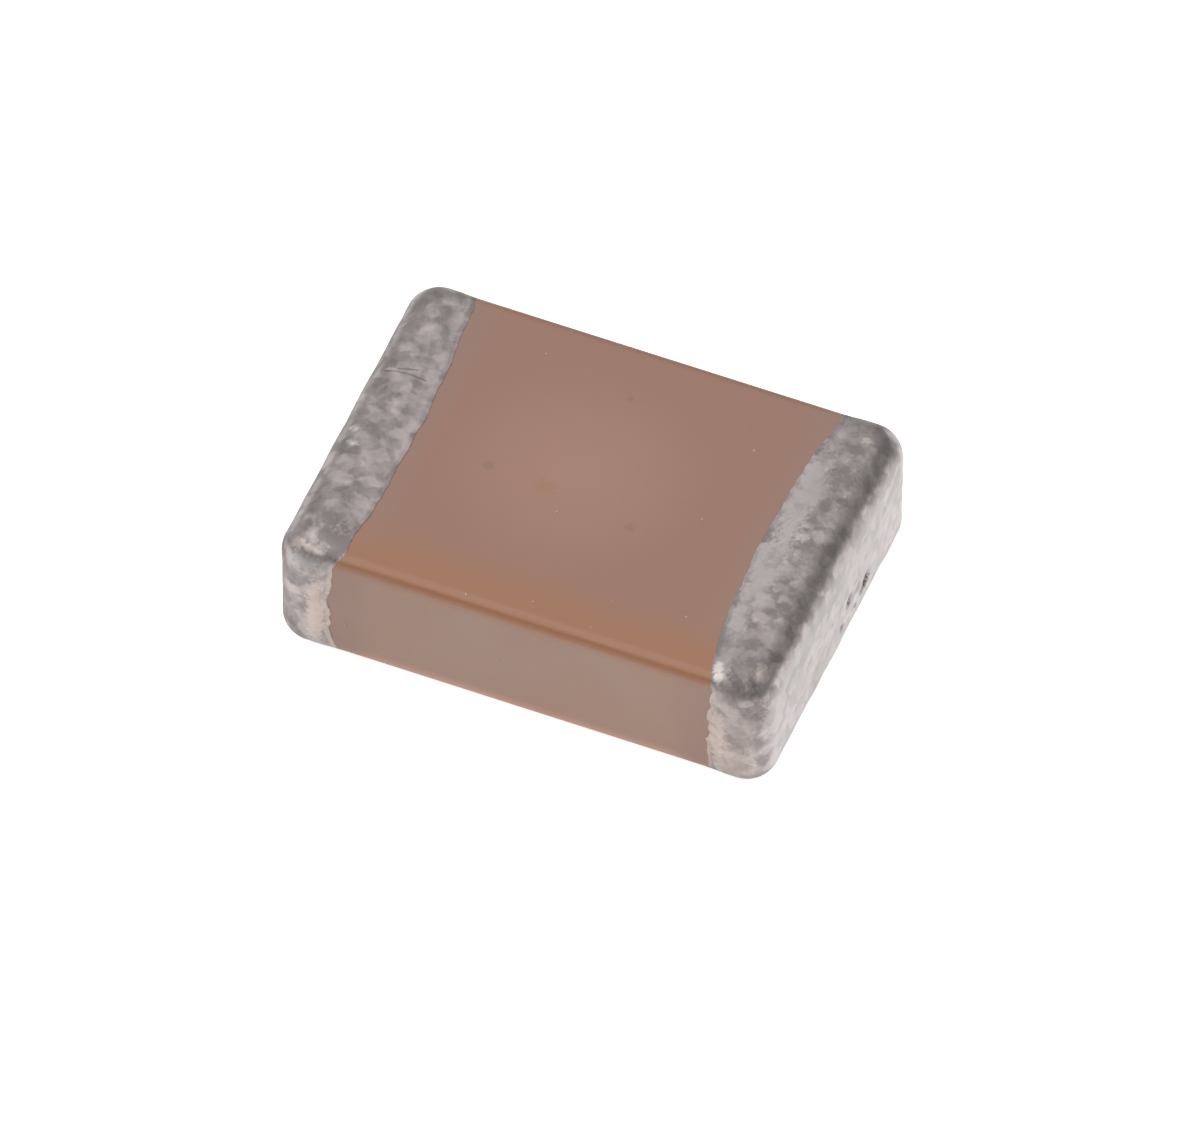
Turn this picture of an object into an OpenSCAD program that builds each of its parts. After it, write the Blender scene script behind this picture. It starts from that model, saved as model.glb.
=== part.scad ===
// Surface mount ceramic chip capacitor: one fired ceramic block with a tinned metal
// termination dipped onto each end. Length runs along X and width along Y. The bottom
// faces of the terminations, which are soldered to the board, lie on Z = 0.

/* [Chip] */
// Overall length over both terminations
chip_length = 4.5; // [3.2:0.1:7.5]
// Overall width over the termination bands
chip_width = 3.28; // [2:0.02:6.4]
// Overall height over the termination bands
chip_height = 1.36; // [0.9:0.02:2.6]

/* [Ceramic body] */
// Radius of the block's edges, tumbled before firing
body_edge_radius = 0.1; // [0.06:0.01:0.14]
// Radius of its four upright corners, which tumbling wears most
body_corner_radius = 0.25; // [0.2:0.01:0.3]

/* [Terminations] */
// Thickness of the metal on the top, bottom and side faces
band_thickness = 0.065; // [0.05:0.005:0.08]
// Thickness of the metal over the block's long edges, where the dip runs thin
edge_thickness = 0.01; // [0.008:0.001:0.02]
// Thickness of the metal on the end face
end_thickness = 0.08; // [0.06:0.01:0.14]
// Length of the band along the middle of the top and bottom faces
band_length = 0.68; // [0.5:0.02:0.9]
// How much further the band reaches at mid width than at the long edges
face_bow = 0.13; // [0.04:0.01:0.16]
// How much further the band reaches at mid height than at the long edges
side_bow = 0.02; // [0.01:0.005:0.06]

/* [Hidden] */

ceramic_brown = [0.60, 0.43, 0.35];
dull_tin = [0.66, 0.64, 0.63];

$fn = 64;
// Facets of the two large discs, whose arcs are only a few degrees of a turn
disc_fn = 720;

chip_size = [chip_length, chip_width, chip_height];
coat = [end_thickness, band_thickness, band_thickness];
body_size = chip_size - 2 * coat;

// Outer edge radius at which edge_thickness of metal is left over the block's own rounded edge
edge_thinning = (band_thickness - edge_thickness) / (sqrt(2) - 1);
cap_edge_radius = body_edge_radius + band_thickness + edge_thinning;

// The rim crosses each long edge at this distance from the middle of the chip
rim_at_edge = chip_length / 2 - band_length + face_bow;

// Radius of the arc whose middle stands out by rise over a chord
function arc_radius(chord, rise) = (chord * chord / 4 + rise * rise) / (2 * rise);

// Flat rectangle with its corners rounded
module rounded_rectangle(size, radius) {
    square([size.x - 2 * radius, size.y], center = true);
    square([size.x, size.y - 2 * radius], center = true);
    for (x = [-1, 1], y = [-1, 1])
        translate([x * (size.x / 2 - radius), y * (size.y / 2 - radius)])
            circle(radius);
}

// Upright post whose rims are rounded, with a half ball at each end where both radii are equal
module round_post(height, post_radius, rim_radius) {
    flat_radius = post_radius - rim_radius;
    rotate_extrude()
        intersection() {
            union() {
                square([2 * post_radius, height - 2 * rim_radius], center = true);
                if (flat_radius > 0)
                    square([2 * flat_radius, height], center = true);
                for (z = [-1, 1])
                    translate([flat_radius, z * (height / 2 - rim_radius)])
                        circle(rim_radius);
            }
            translate([0, -height / 2])
                square([post_radius, height]);
        }
}

// Block whose upright corners have one radius, and whose other edges have another
module tumbled_block(size, corner_radius, edge_radius) {
    rotate([90, 0, 90])
        linear_extrude(height = size.x - 2 * corner_radius, center = true)
            rounded_rectangle([size.y, size.z], edge_radius);
    rotate([90, 0, 0])
        linear_extrude(height = size.y - 2 * corner_radius, center = true)
            rounded_rectangle([size.x, size.z], edge_radius);
    for (x = [-1, 1], y = [-1, 1])
        translate([x * (size.x / 2 - corner_radius), y * (size.y / 2 - corner_radius), 0])
            round_post(size.z, corner_radius, edge_radius);
}

// Ceramic block round the middle of the chip, which the terminations are dipped onto
module block() {
    tumbled_block(body_size, body_corner_radius, body_edge_radius);
}

// Reach of the dipped metal: one disc bows the rim over the top and bottom faces, and a
// second, on edge, bows it over the two side faces. Both run past the chip's own faces
module dip_reach() {
    face_radius = arc_radius(chip_width, face_bow);
    side_radius = arc_radius(chip_height, side_bow);
    translate([rim_at_edge - face_bow + face_radius, 0, 0])
        cylinder(r = face_radius, h = 2 * chip_height, center = true, $fn = disc_fn);
    translate([rim_at_edge - side_bow + side_radius, 0, 0])
        rotate([90, 0, 0])
            cylinder(r = side_radius, h = 2 * chip_width, center = true, $fn = disc_fn);
}

// Termination of the +X end, round the middle of the chip
module termination_cap() {
    difference() {
        intersection() {
            tumbled_block(chip_size, cap_edge_radius, cap_edge_radius);
            dip_reach();
        }
        block();
    }
}

module ceramic_body() {
    color(ceramic_brown)
        translate([0, 0, chip_height / 2])
            block();
}

module right_termination() {
    color(dull_tin)
        translate([0, 0, chip_height / 2])
            termination_cap();
}

module left_termination() {
    color(dull_tin)
        translate([0, 0, chip_height / 2])
            mirror([1, 0, 0])
                termination_cap();
}

ceramic_body();
left_termination();
right_termination();
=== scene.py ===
import math

import bpy
import numpy as np
from bpy.props import FloatProperty, FloatVectorProperty, IntProperty, PointerProperty
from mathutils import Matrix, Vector


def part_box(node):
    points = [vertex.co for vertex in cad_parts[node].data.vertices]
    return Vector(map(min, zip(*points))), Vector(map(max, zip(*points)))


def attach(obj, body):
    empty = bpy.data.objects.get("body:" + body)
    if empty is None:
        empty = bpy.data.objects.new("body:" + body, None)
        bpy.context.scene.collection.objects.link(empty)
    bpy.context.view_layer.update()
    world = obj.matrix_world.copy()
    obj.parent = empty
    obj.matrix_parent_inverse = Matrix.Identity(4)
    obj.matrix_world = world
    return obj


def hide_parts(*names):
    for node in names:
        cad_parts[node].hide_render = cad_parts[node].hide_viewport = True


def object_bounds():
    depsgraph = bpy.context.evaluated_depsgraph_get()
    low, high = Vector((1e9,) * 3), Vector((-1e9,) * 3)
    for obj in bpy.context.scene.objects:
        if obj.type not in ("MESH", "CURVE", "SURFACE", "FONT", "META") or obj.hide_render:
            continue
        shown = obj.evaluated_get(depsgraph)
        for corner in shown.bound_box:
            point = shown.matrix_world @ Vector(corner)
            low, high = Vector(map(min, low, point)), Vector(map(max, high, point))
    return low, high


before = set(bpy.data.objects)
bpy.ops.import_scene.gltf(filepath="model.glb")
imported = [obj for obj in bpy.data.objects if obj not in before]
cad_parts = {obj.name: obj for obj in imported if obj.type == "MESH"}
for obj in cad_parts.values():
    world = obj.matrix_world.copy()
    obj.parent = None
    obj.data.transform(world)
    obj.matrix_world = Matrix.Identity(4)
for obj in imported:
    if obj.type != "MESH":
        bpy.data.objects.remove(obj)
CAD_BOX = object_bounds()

bl_info = {
    "name": "Chip capacitor",
    "version": (1, 0, 0),
    "blender": (4, 5, 0),
    "location": "3D View > Sidebar > Capacitor",
    "description": "Dresses a surface mount ceramic capacitor in fired ceramic and dull tin",
    "category": "Object",
}

MM = 0.001
MICRON = 0.000001
# Least length to divide by
TINY = 1e-12
# Half of a rounded edge's turn, which each of the two faces that meet there takes
HALF_EDGE = math.pi / 4
BODY_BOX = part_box("ceramic_body")
CHIP_HALF = (CAD_BOX[1] - CAD_BOX[0]) / 2
CHIP_CENTRE = (CAD_BOX[1] + CAD_BOX[0]) / 2
BODY_HALF = (BODY_BOX[1] - BODY_BOX[0]) / 2
BAND_THICKNESS = CHIP_HALF.z - BODY_HALF.z

# Photograph's frame in pixels, its scale, and where the chip's centre lies in it
PHOTO_WIDTH = 1200
PHOTO_HEIGHT = 1138
PIXELS_PER_MM = 118.84
CENTRE_PIXEL = (592.6, 532.0)


def length(name, description, default):
    """A property that holds a length in metres."""
    return FloatProperty(name=name, description=description, default=default, unit="LENGTH", precision=6)


def colour(name, description, default):
    """A property that holds a linear colour."""
    return FloatVectorProperty(
        name=name, description=description, default=default, subtype="COLOR", size=3, min=0, max=1
    )


def number(name, description, default):
    """A property that holds a plain number."""
    return FloatProperty(name=name, description=description, default=default, precision=3)


def degrees(name, description, default):
    """A property that holds an angle, with its default in degrees."""
    return FloatProperty(name=name, description=description, default=math.radians(default), subtype="ANGLE")


def whole(name, description, default):
    """A property that holds a whole number."""
    return IntProperty(name=name, description=description, default=default)


class CeramicSettings(bpy.types.PropertyGroup):
    """Shape and finish of the fired ceramic block."""

    edge_radius: length("Edge radius", "Radius of the block's tumbled edges", 0.1 * MM)
    corner_radius: length("Corner radius", "Radius of the block's four upright corners", 0.25 * MM)
    ripple_height: length("Ripple height", "Depth of the faint waves left by firing", 1.2 * MICRON)
    ripple_size: length("Ripple size", "Width of one of those waves", 0.7 * MM)
    face_colour: colour("Face colour", "Colour over most of the top", (0.383, 0.175, 0.109))
    # Painted reflection of the pale floor: the greyer colour of the front and back
    front_reflection_colour: colour("Front colour", "Greyer colour of the front and back", (0.43, 0.244, 0.172))
    # Painted reflection: the paler colour in the middle of the top
    sheen_colour: colour("Bloom colour", "Paler colour in the middle of the top", (0.56, 0.291, 0.192))
    # Painted shade: the warm, darker colour along the front and back edges; the orange smudge uses it too
    edge_shade_and_smudge_colour: colour("Edge colour", "Warmer colour along the front edge", (0.435, 0.165, 0.056))
    # Painted reflection of the floor along the lower edges
    foot_reflection_colour: colour("Foot colour", "Paler, warmer colour along the lower edges", (0.68, 0.36, 0.255))
    # Also the colour of the painted shade line along the back edge
    spot_and_shade_colour: colour("Spot colour", "Colour of the faint dark spots", (0.17, 0.10, 0.08))
    # Painted shade beside the tin's rims, where the ceramic meets the caps
    rim_shade_colour: colour("Rim colour", "Greyer colour beside the tin's rims", (0.365, 0.195, 0.143))
    warm_reach: length("Warm reach", "How far the warm colour spreads from the front edge", 0.7 * MM)
    roughness: number("Roughness", "Roughness of the fired surface", 0.32)
    speck_size: length("Speck size", "Width of the pale dust grains", 24 * MICRON)
    speck_colour: colour("Speck colour", "Colour of the pale dust grains", (0.72, 0.55, 0.45))
    speck_seed: whole("Speck seed", "Seed of the grains' sizes and turns", 4)


class TinSettings(bpy.types.PropertyGroup):
    """Shape and finish of the two dipped terminations."""

    edge_thickness: length("Edge thickness", "Metal over the long edges, where the dip is thin", 10 * MICRON)
    face_feather: length("Face feather", "Length over which the rim thins out on top and bottom", 0.30 * MM)
    side_feather: length("Side feather", "Length over which the rim thins out on the sides", 0.08 * MM)
    left_reach: length("Left reach", "Band length of the left cap at the long edges", 0.573 * MM)
    left_bow: length("Left bow", "How much further the left band reaches at mid width", 0.094 * MM)
    left_skew: length("Left skew", "How much longer the left band is along the back edge", -0.018 * MM)
    left_side_bow: length("Left side bow", "How much further the left band runs at mid height", -0.095 * MM)
    left_notch: length("Left notch", "How far the left rim draws back at the front upper edge", 0.0)
    right_reach: length("Right reach", "Band length of the right cap at the long edges", 0.575 * MM)
    right_bow: length("Right bow", "How much further the right band reaches at mid width", 0.131 * MM)
    right_skew: length("Right skew", "How much longer the right band is along the back edge", 0.002 * MM)
    right_side_bow: length("Right side bow", "How much further the right band runs at mid height", -0.02 * MM)
    right_notch: length("Right notch", "How far the right rim draws back at the front upper edge", 0.045 * MM)
    swell_size: length("Swell size", "Width of the plating's broad swells", 0.28 * MM)
    swell_height: length("Swell height", "Height of those swells", 6.0 * MICRON)
    lump_size: length("Lump size", "Width of the plating's soft lumps", 0.12 * MM)
    lump_height: length("Lump height", "Height of those lumps", 2.0 * MICRON)
    grain_size: length("Grain size", "Width of the plating's fine grain", 0.04 * MM)
    grain_height: length("Grain height", "Height of the fine grain", 0.4 * MICRON)
    # Light and dark tin are also the two ends of the painted light and shade that the tin's mix carries
    light_colour: colour("Light tin", "Colour of the clean tin", (0.585, 0.52, 0.51))
    dark_colour: colour("Dark tin", "Colour of the dull patches", (0.31, 0.272, 0.268))
    # Also the colour of the painted highlight along the rims on the sides
    cream_and_highlight_colour: colour("Cream tin", "Colour of pale blobs and the rims on the sides", (0.76, 0.64, 0.575))
    # Also the end faces' paler tint, which is painted light
    pale_and_end_light_colour: colour("Pale tin", "Colour of small pale flakes", (0.72, 0.68, 0.68))
    # Painted glint on the lifted sliver at the right rim
    glint_colour: colour("Glint", "Colour of the bare sliver at the right rim", (0.95, 0.90, 0.82))
    # Also the colour of the painted shade at the front corners
    pit_and_shade_colour: colour("Pit colour", "Colour down in the pits and scratches", (0.07, 0.055, 0.06))
    roughness: number("Roughness", "Roughness of the matte plating", 0.37)
    left_seed: whole("Left seed", "Seed of the left cap's lumps and rim", 3)
    right_seed: whole("Right seed", "Seed of the right cap's lumps and rim", 8)


class StageSettings(bpy.types.PropertyGroup):
    """Floor, lights and camera."""

    azimuth: degrees("Azimuth", "Camera's turn round the chip", 22.4)
    elevation: degrees("Elevation", "Camera's height above the floor", 50.6)
    distance: length("Distance", "From the camera to the chip", 300 * MM)
    floor_size: length("Floor size", "Side of the square floor", 160 * MM)
    front_glow: number("Front glow", "Light that the lit table adds in front of the chip", 0.33)
    right_glow: number("Right glow", "Light that the lit table adds on the chip's right", 0.66)
    left_glow: number("Left glow", "Light that the lit table adds far out on the chip's left", 0.35)
    floor_white: number("Floor white", "Light that the table adds where the camera sees it", 0.8)
    lamp_size: length("Lamp size", "Side of the square lamp overhead", 80 * MM)
    lamp_place: FloatVectorProperty(
        name="Lamp place",
        description="Centre of the lamp",
        default=(0, -15 * MM, 50 * MM),
        subtype="TRANSLATION",
    )
    lamp_radiance: number("Lamp radiance", "Brightness that the lamp adds to the sky behind it", 0.38)


class CapacitorSettings(bpy.types.PropertyGroup):
    """All settings of the chip capacitor."""

    ceramic: PointerProperty(type=CeramicSettings)
    tin: PointerProperty(type=TinSettings)
    stage: PointerProperty(type=StageSettings)


# Node building

def add_node(tree, kind, inputs=None, **settings):
    """Adds a node, sets its settings, then links or fills its inputs."""
    made = tree.nodes.new(kind)
    for key, value in settings.items():
        setattr(made, key, value)
    for key, value in (inputs or {}).items():
        socket = made.inputs[key]
        if isinstance(value, bpy.types.NodeSocket):
            tree.links.new(value, socket)
        else:
            socket.default_value = value
    return made


def maths(tree, operation, first, second=0.0, clamp=False):
    """Output of a Math node."""
    return add_node(
        tree, "ShaderNodeMath", {0: first, 1: second}, operation=operation, use_clamp=clamp
    ).outputs[0]


def times(tree, first, second):
    """Product of two values."""
    return maths(tree, "MULTIPLY", first, second)


def plus(tree, first, second, clamp=False):
    """Sum of two values."""
    return maths(tree, "ADD", first, second, clamp)


def minus(tree, first, second, clamp=False):
    """Difference of two values."""
    return maths(tree, "SUBTRACT", first, second, clamp)


def vectors(tree, operation, first, second=(0.0, 0.0, 0.0)):
    """Output of a Vector Math node with two vectors."""
    return add_node(tree, "ShaderNodeVectorMath", {0: first, 1: second}, operation=operation).outputs[0]


def scaled(tree, vector, factor):
    """A vector times a number."""
    made = add_node(tree, "ShaderNodeVectorMath", {0: vector, "Scale": factor}, operation="SCALE")
    return made.outputs[0]


def size_of(tree, vector):
    """Length of a vector."""
    return add_node(tree, "ShaderNodeVectorMath", {0: vector}, operation="LENGTH").outputs["Value"]


def split(tree, vector):
    """Parts of a vector, by the names X, Y and Z."""
    return add_node(tree, "ShaderNodeSeparateXYZ", {0: vector}).outputs


def combined(tree, x, y, z):
    """A vector from three numbers."""
    return add_node(tree, "ShaderNodeCombineXYZ", {"X": x, "Y": y, "Z": z}).outputs[0]


def ramp(tree, value, low, high, to_low=0.0, to_high=1.0):
    """A value eased from one range to another."""
    made = add_node(
        tree,
        "ShaderNodeMapRange",
        {"Value": value, 1: low, 2: high, 3: to_low, 4: to_high},
        interpolation_type="SMOOTHSTEP",
    )
    return made.outputs[0]


def mixed(tree, factor, first, second, blend="MIX"):
    """Output of a colour Mix node."""
    made = add_node(
        tree, "ShaderNodeMix", {0: factor, 6: first, 7: second}, data_type="RGBA", blend_type=blend
    )
    return made.outputs[2]


def new_group(name, kind, inputs, outputs):
    """A node group made from its sockets' names and kinds, with its input and output nodes."""
    tree = bpy.data.node_groups.new(name, kind)
    for in_out, sockets in (("INPUT", inputs), ("OUTPUT", outputs)):
        for socket, socket_kind in sockets.items():
            tree.interface.new_socket(socket, in_out=in_out, socket_type=f"NodeSocket{socket_kind}")
    return tree, tree.nodes.new("NodeGroupInput"), tree.nodes.new("NodeGroupOutput")


def finish_tree(tree, geometry, material, sink):
    """Ends a tree: smooth faces, real meshes and the material."""
    smooth = add_node(tree, "GeometryNodeSetShadeSmooth", {"Geometry": geometry}).outputs[0]
    real = add_node(tree, "GeometryNodeRealizeInstances", {"Geometry": smooth}).outputs[0]
    painted = add_node(tree, "GeometryNodeSetMaterial", {"Geometry": real, "Material": material}).outputs[0]
    tree.links.new(painted, sink.inputs[0])


def opaque(rgb):
    """A colour with full alpha."""
    return (*rgb, 1.0)


# Meshes

def bake_nodes(piece, tree, values):
    """Runs a Geometry Nodes tree on a piece and keeps the result as its plain mesh."""
    modifier = piece.modifiers.new(tree.name, "NODES")
    modifier.node_group = tree
    for item in tree.interface.items_tree:
        if item.in_out == "INPUT" and item.name in values:
            modifier[item.identifier] = values[item.name]
    graph = bpy.context.evaluated_depsgraph_get()
    graph.update()
    result = bpy.data.meshes.new_from_object(
        piece.evaluated_get(graph), preserve_all_data_layers=True, depsgraph=graph
    )
    piece.modifiers.remove(modifier)
    piece.data = result
    if not result.polygons:
        raise RuntimeError(f"{piece.name} came out of its node tree empty")
    return piece


def new_piece(name, mesh):
    """Links a mesh to the scene under a piece's name."""
    piece = bpy.data.objects.new(name, mesh)
    bpy.context.scene.collection.objects.link(piece)
    return piece


def stations(half, radius, spacing):
    """Places from -half to half: even steps on the flat, and equal angles round each edge."""
    flat = half - radius
    steps = round(2 * flat / spacing)
    turns = round(radius * HALF_EDGE / spacing)
    bend = flat + radius * np.tan(np.linspace(0, HALF_EDGE, turns + 1)[1:])
    return np.concatenate([-bend[::-1], np.linspace(-flat, flat, steps + 1), bend])


def tumbled(points, half, corner, edge):
    """Moves points of a box onto the same box with rounded upright corners and rounded edges."""
    plan, level = points[:, :2], points[:, 2:]
    core = np.clip(plan, corner - half[:2], half[:2] - corner)
    away = plan - core
    reach = np.abs(away).max(axis=1, keepdims=True)
    outward = away / np.maximum(np.linalg.norm(away, axis=1, keepdims=True), TINY)
    middle = np.clip(level, edge - half[2], half[2] - edge)
    profile = np.column_stack([np.maximum(reach - corner + edge, 0), level - middle])
    profile *= edge / np.maximum(np.linalg.norm(profile, axis=1, keepdims=True), TINY)
    radial = np.minimum(reach, corner - edge) + profile[:, :1]
    return np.column_stack([core + outward * radial, middle + profile[:, 1:]])


def loop_round(columns, rows):
    """Lattice places once round the edge of an end face, anticlockwise seen from outside."""
    along = [(column, 0) for column in range(columns)]
    up = [(columns, row) for row in range(rows)]
    back = [(columns - column, rows) for column in range(columns)]
    down = [(0, rows - row) for row in range(rows)]
    return np.array(along + up + back + down)


def ragged(arc, girth, seed, waves):
    """A line that wanders about zero once round the chip: waves are (wave length, height) pairs."""
    random = np.random.default_rng(seed)
    line = np.zeros_like(arc)
    for wave_length, height in waves:
        middle = max(2, round(girth / wave_length))
        turns = np.arange(max(1, middle // 2), middle * 3 // 2 + 1)
        phases = random.uniform(0, 2 * math.pi, len(turns))
        wander = np.cos(2 * math.pi * np.outer(arc / girth, turns) + phases).sum(axis=1)
        line += height * wander / math.sqrt(len(turns))
    return line


# Ceramic body

def tumbled_block_tree():
    """Geometry Nodes: a rippled block with rounded corners and edges, and a finer lattice at the edges."""
    tree, source, sink = new_group(
        "Tumbled block",
        "GeometryNodeTree",
        {
            "Half Size": "Vector",
            "Centre": "Vector",
            "Corner Radius": "Float",
            "Edge Radius": "Float",
            "Ripple Size": "Float",
            "Ripple Height": "Float",
            "Columns": "Int",
            "Rows": "Int",
            "Layers": "Int",
            "Material": "Material",
        },
        {"Geometry": "Geometry"},
    )
    given = source.outputs
    corner, edge = given["Corner Radius"], given["Edge Radius"]
    cube = add_node(
        tree,
        "GeometryNodeMeshCube",
        {
            "Size": (2.0, 2.0, 2.0),
            "Vertices X": given["Columns"],
            "Vertices Y": given["Rows"],
            "Vertices Z": given["Layers"],
        },
    )
    place = tree.nodes.new("GeometryNodeInputPosition").outputs[0]
    crowded = vectors(tree, "SINE", scaled(tree, place, math.pi / 2))
    point = vectors(tree, "MULTIPLY", crowded, given["Half Size"])

    # Round the upright corners of the plan
    plan = vectors(tree, "MULTIPLY", point, (1.0, 1.0, 0.0))
    inner = vectors(tree, "SUBTRACT", given["Half Size"], combined(tree, corner, corner, 0.0))
    inner = vectors(tree, "MULTIPLY", inner, (1.0, 1.0, 0.0))
    core = vectors(tree, "MAXIMUM", vectors(tree, "MINIMUM", plan, inner), scaled(tree, inner, -1.0))
    away = vectors(tree, "SUBTRACT", plan, core)
    outward = vectors(tree, "NORMALIZE", away)
    spread = split(tree, vectors(tree, "ABSOLUTE", away))
    reach = maths(tree, "MAXIMUM", spread["X"], spread["Y"])

    # Round the edges between the faces and the sides
    level = split(tree, point)["Z"]
    top = split(tree, given["Half Size"])["Z"]
    flat_top = minus(tree, top, edge)
    middle = maths(tree, "MINIMUM", level, flat_top)
    middle = maths(tree, "MAXIMUM", middle, times(tree, flat_top, -1.0))
    flat_reach = minus(tree, corner, edge)
    beyond = maths(tree, "MAXIMUM", minus(tree, reach, flat_reach), 0.0)
    bend = vectors(tree, "NORMALIZE", combined(tree, beyond, minus(tree, level, middle), 0.0))
    bend = split(tree, bend)
    normal = vectors(tree, "ADD", scaled(tree, outward, bend["X"]), combined(tree, 0.0, 0.0, bend["Y"]))
    base = vectors(
        tree,
        "ADD",
        vectors(tree, "ADD", core, combined(tree, 0.0, 0.0, middle)),
        scaled(tree, outward, maths(tree, "MINIMUM", reach, flat_reach)),
    )

    wave = add_node(
        tree,
        "ShaderNodeTexNoise",
        {"Vector": base, "Scale": maths(tree, "DIVIDE", 1.0, given["Ripple Size"]), "Detail": 1.0},
    ).outputs["Fac"]
    depth = times(tree, wave, given["Ripple Height"])
    surface = vectors(tree, "ADD", base, scaled(tree, normal, minus(tree, edge, depth)))
    placed = add_node(
        tree,
        "GeometryNodeSetPosition",
        {"Geometry": cube.outputs["Mesh"], "Position": vectors(tree, "ADD", surface, given["Centre"])},
    )
    finish_tree(tree, placed.outputs[0], given["Material"], sink)
    return tree


# Vertices of the block's lattice along its length, width and height
BLOCK_COLUMNS = 121
BLOCK_ROWS = 101
BLOCK_LAYERS = 61


class CAPACITOR_OT_ceramic_body(bpy.types.Operator):
    """Make the fired ceramic block"""

    bl_idname = "capacitor.ceramic_body"
    bl_label = "Ceramic Body"

    def execute(self, context):
        look = context.scene.chip_capacitor.ceramic
        piece = new_piece("fired_ceramic_body", bpy.data.meshes.new("fired_ceramic_body"))
        bake_nodes(
            piece,
            tumbled_block_tree(),
            {
                "Half Size": BODY_HALF,
                "Centre": CHIP_CENTRE,
                "Corner Radius": look.corner_radius,
                "Edge Radius": look.edge_radius,
                "Ripple Size": look.ripple_size,
                "Ripple Height": look.ripple_height,
                "Columns": BLOCK_COLUMNS,
                "Rows": BLOCK_ROWS,
                "Layers": BLOCK_LAYERS,
                "Material": ceramic_material(look),
            },
        )
        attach(piece, "root")
        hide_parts("ceramic_body")
        return {"FINISHED"}


# Dust grains

# Places of the pale grains on the top face, as (x, y), and on the front face, as (x, z), in millimetres
TOP_GRAINS = (
    (-0.91, 1.18),
    (0.26, -0.07),
    (-0.17, -0.38),
    (1.11, 0.87),
    (0.99, 0.01),
    (1.27, -1.02),
    (0.63, -1.10),
    (-0.53, -1.50),
    (0.57, -1.43),
    (0.02, -1.36),
)
FRONT_GRAINS = ((-1.60, 0.48), (-0.19, 0.66))
# Least and most of the grains' shares of the grain size along X, Y and Z, and of their turns
GRAIN_STRETCH = ((0.5, 0.5, 0.3), (1.3, 1.0, 0.6))
GRAIN_TURN = ((0.0, 0.0, 0.0), (0.4, 0.4, 2 * math.pi))
GRAIN_SUBDIVISIONS = 3


def grains_tree():
    """Geometry Nodes: a grain of its own size and turn on each point."""
    tree, source, sink = new_group(
        "Dust grains",
        "GeometryNodeTree",
        {"Geometry": "Geometry", "Grain Size": "Float", "Seed": "Int", "Material": "Material"},
        {"Geometry": "Geometry"},
    )
    given = source.outputs
    points = add_node(tree, "GeometryNodeMeshToPoints", {"Mesh": given["Geometry"]}).outputs[0]
    ball_inputs = {"Radius": 0.5, "Subdivisions": GRAIN_SUBDIVISIONS}
    ball = add_node(tree, "GeometryNodeMeshIcoSphere", ball_inputs).outputs[0]

    def between(least, most):
        """A vector of each grain's own between two limits."""
        limits = {"Min": least, "Max": most, "Seed": given["Seed"]}
        return add_node(tree, "FunctionNodeRandomValue", limits, data_type="FLOAT_VECTOR").outputs[0]

    stretch = between(*GRAIN_STRETCH)
    grains = add_node(
        tree,
        "GeometryNodeInstanceOnPoints",
        {
            "Points": points,
            "Instance": ball,
            "Rotation": between(*GRAIN_TURN),
            "Scale": scaled(tree, stretch, given["Grain Size"]),
        },
    ).outputs[0]
    finish_tree(tree, grains, given["Material"], sink)
    return tree


class CAPACITOR_OT_dust_grains(bpy.types.Operator):
    """Make the pale dust grains that stick to the ceramic"""

    bl_idname = "capacitor.dust_grains"
    bl_label = "Dust Grains"

    def execute(self, context):
        look = context.scene.chip_capacitor.ceramic
        places = [(x * MM, y * MM, BODY_BOX[1].z) for x, y in TOP_GRAINS]
        places += [(x * MM, BODY_BOX[0].y, z * MM) for x, z in FRONT_GRAINS]
        mesh = bpy.data.meshes.new("dust_grains")
        mesh.from_pydata(places, [], [])
        piece = new_piece("dust_grains", mesh)
        values = {"Grain Size": look.speck_size, "Seed": look.speck_seed, "Material": dust_material(look)}
        bake_nodes(piece, grains_tree(), values)
        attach(piece, "root")
        return {"FINISHED"}


# Terminations

# Spacing of a cap's vertices, and the number of steps round an edge of its pocket
SKIN_SPACING = 14 * MICRON
POCKET_TURNS = 5
# Distance from the rim that stands for all of the end face
FAR_FROM_RIM = 1 * MM
# Share of the metal's thickness that is left as a blunt edge at the rim
RIM_BLUNT = 0.07
# Steepest slope of the metal up from the ragged rim
RIM_SLOPE = 0.6
# Share of the band at which its last ring stands, so that the blunt edge stays crisp
LAST_RING = 0.995
# Waves of the rim's ragged line: wave length and height
RIM_WAVES = ((0.6 * MM, 7 * MICRON), (0.2 * MM, 3.5 * MICRON), (0.07 * MM, 1.5 * MICRON))
# How much more ragged the rim is on the sides
SIDE_RAGGED = 1.9
# Where a rim draws back, as (y, z) from the chip's centre, and over what width
NOTCH_PLACE = (-1.64 * MM, 0.55 * MM)
NOTCH_WIDTH = 0.22 * MM


def cap_radius(ceramic, tin):
    """Outer edge radius of a cap that leaves the edge thickness of metal over the block's own edge."""
    thinning = (BAND_THICKNESS - tin.edge_thickness) / (math.sqrt(2) - 1)
    return ceramic.edge_radius + BAND_THICKNESS + thinning


def face_share(points, radius):
    """How far places round the end face belong to the top and bottom (1) or to the sides (0)."""
    y, z = CHIP_HALF.y - np.abs(points[:, 1]), CHIP_HALF.z - np.abs(points[:, 2])
    along = np.where(z <= y, np.minimum(y / radius, 1), -np.minimum(z / radius, 1))
    return 0.5 + 0.5 * along


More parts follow.
